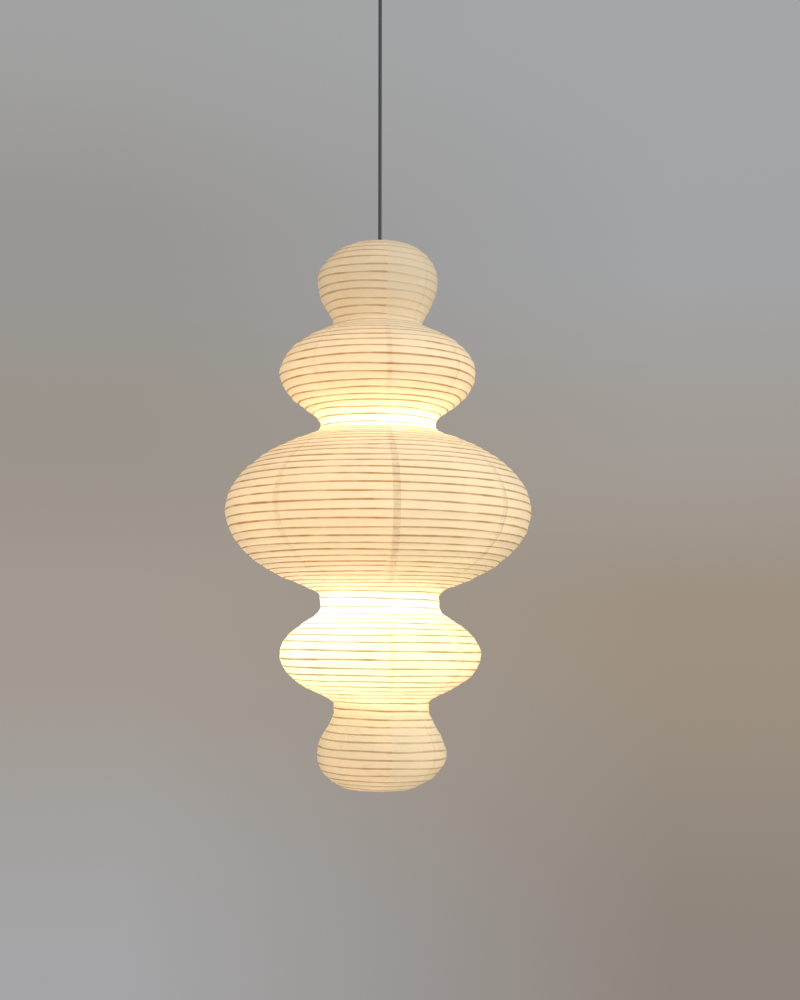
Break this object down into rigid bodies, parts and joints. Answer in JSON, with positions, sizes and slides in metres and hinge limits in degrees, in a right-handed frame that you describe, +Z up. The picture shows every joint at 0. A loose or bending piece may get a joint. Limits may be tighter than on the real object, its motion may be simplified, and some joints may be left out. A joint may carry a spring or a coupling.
{
  "type": "pendant ceiling light",
  "caption": "Tall pendant light: a ribbed paper shade in stacked round tiers over an inner wire frame with bulbs, hung on a cord from a ceiling cup.",
  "frame": {"origin": "centre of the canopy's ceiling face, between the two ceiling screw holes", "axes": "+Z up towards the ceiling, the light hangs along -Z; +X along the line of the two ceiling screws; the front faces -Y"},
  "size_m": [0.5002, 0.5002, 1.424],
  "materials": {
    "canopy_paint": "matt powder coat",
    "zinc_steel": "zinc plated",
    "black_nylon": "moulded matt",
    "black_rubber": "matt",
    "terminal_plastic": "moulded",
    "brass": "turned",
    "core_insulation": "extruded",
    "cord_braid": "braided textile",
    "white_cord": "extruded PVC",
    "frame_steel": "white coated steel wire",
    "white_plastic": "moulded satin",
    "porcelain": "glazed",
    "bulb_glass": "opal",
    "bulb_plastic": "moulded satin",
    "cap_aluminium": "rolled thread",
    "black_glass": "fused glass",
    "shade_paper": "handmade mulberry paper, lit from inside",
    "bamboo": "split bamboo strip"
  },
  "bodies": {
    "canopy": {"ceiling_bracket": "zinc_steel", "canopy_cup": "canopy_paint", "canopy_side_screws": "zinc_steel", "terminal_block": "terminal_plastic", "terminal_screws": "brass", "canopy_core_wires": "core_insulation", "canopy_cord_grip": "black_nylon", "canopy_grip_nut": "zinc_steel"},
    "collet": {"grip_collet": "black_rubber"},
    "cord": {"pendant_cord": "cord_braid"},
    "lamp": {"lamp_cord_grip": "black_nylon", "hanger_crossbar": "frame_steel", "junction_housing": "white_plastic", "junction_lid": "white_plastic", "inner_cord_upper": "white_cord", "inner_cord_lower": "white_cord", "cord_clips": "white_plastic", "left_guide_tube": "frame_steel", "right_guide_tube": "frame_steel", "upper_holder_bracket": "frame_steel", "lower_holder_bracket": "frame_steel", "holder_nipples": "brass", "nipple_nuts": "brass", "tube_collars": "zinc_steel", "top_ring": "frame_steel", "upper_holder_cap": "white_plastic", "upper_holder_skirt": "white_plastic", "upper_holder_insert": "porcelain", "upper_screw_shell": "brass", "upper_centre_contact": "brass", "lower_holder_cap": "white_plastic", "lower_holder_skirt": "white_plastic", "lower_holder_insert": "porcelain", "lower_screw_shell": "brass", "lower_centre_contact": "brass", "paper_gore_1": "shade_paper", "paper_gore_2": "shade_paper", "paper_gore_3": "shade_paper", "paper_gore_4": "shade_paper", "paper_gore_5": "shade_paper", "paper_gore_6": "shade_paper", "paper_gore_7": "shade_paper", "paper_gore_8": "shade_paper", "rib_spiral_top": "bamboo", "rib_spiral_middle": "bamboo", "rib_spiral_bottom": "bamboo"},
    "lower_frame": {"left_slide_rod": "frame_steel", "right_slide_rod": "frame_steel", "bottom_spreader": "frame_steel", "bottom_ring": "frame_steel"},
    "left_screw": {"left_thumb_screw": "zinc_steel"},
    "right_screw": {"right_thumb_screw": "zinc_steel"},
    "upper_bulb_thread": {"upper_bulb_contact": "black_glass"},
    "upper_bulb": {"upper_bulb_globe": "bulb_glass", "upper_bulb_housing": "bulb_plastic", "upper_bulb_cap": "cap_aluminium"},
    "lower_bulb_thread": {"lower_bulb_contact": "black_glass"},
    "lower_bulb": {"lower_bulb_globe": "bulb_glass", "lower_bulb_housing": "bulb_plastic", "lower_bulb_cap": "cap_aluminium"}
  },
  "joints": [
    {"name": "swing_side", "type": "hinge", "parent": "canopy", "child": "collet", "pos_m": [0, 0, -0.06], "axis": [0, 1, 0], "range_deg": [-20, 20]},
    {"name": "swing_front", "type": "hinge", "parent": "collet", "child": "cord", "pos_m": [0, 0, -0.06], "axis": [1, 0, 0], "range_deg": [-20, 20]},
    {"name": "cord_twist", "type": "hinge", "parent": "cord", "child": "lamp", "pos_m": [0, 0, -0.53], "axis": [0, 0, 1], "range_deg": [-180, 180]},
    {"name": "shade_stretch", "type": "slide", "parent": "lamp", "child": "lower_frame", "axis": [0, 0, 1], "range_m": [0, 0.3], "deforming": ["paper_gore_1", "paper_gore_2", "paper_gore_3", "paper_gore_4", "paper_gore_5", "paper_gore_6", "paper_gore_7", "paper_gore_8", "rib_spiral_top", "rib_spiral_middle", "rib_spiral_bottom"]},
    {"name": "left_screw_turn", "type": "hinge", "parent": "lamp", "child": "left_screw", "pos_m": [-0.05, 0, -1.098], "axis": [-1, 0, 0], "range_deg": [0, 720]},
    {"name": "right_screw_turn", "type": "hinge", "parent": "lamp", "child": "right_screw", "pos_m": [0.05, 0, -1.098], "axis": [1, 0, 0], "range_deg": [0, 720]},
    {"name": "upper_bulb_travel", "type": "slide", "parent": "lamp", "child": "upper_bulb_thread", "axis": [0, 0, 1], "range_m": [-0.0217, 0]},
    {"name": "upper_bulb_turn", "type": "hinge", "parent": "upper_bulb_thread", "child": "upper_bulb", "pos_m": [0, 0, -0.835], "axis": [0, 0, 1], "range_deg": [-2160, 0]},
    {"name": "lower_bulb_travel", "type": "slide", "parent": "lamp", "child": "lower_bulb_thread", "axis": [0, 0, 1], "range_m": [-0.0217, 0]},
    {"name": "lower_bulb_turn", "type": "hinge", "parent": "lower_bulb_thread", "child": "lower_bulb", "pos_m": [0, 0, -1.185], "axis": [0, 0, 1], "range_deg": [-2160, 0]}
  ],
  "couplings": [
    {"joint": "upper_bulb_turn", "follows": "upper_bulb_travel", "rad_per_m": 1735.7},
    {"joint": "lower_bulb_turn", "follows": "lower_bulb_travel", "rad_per_m": 1735.7}
  ]
}
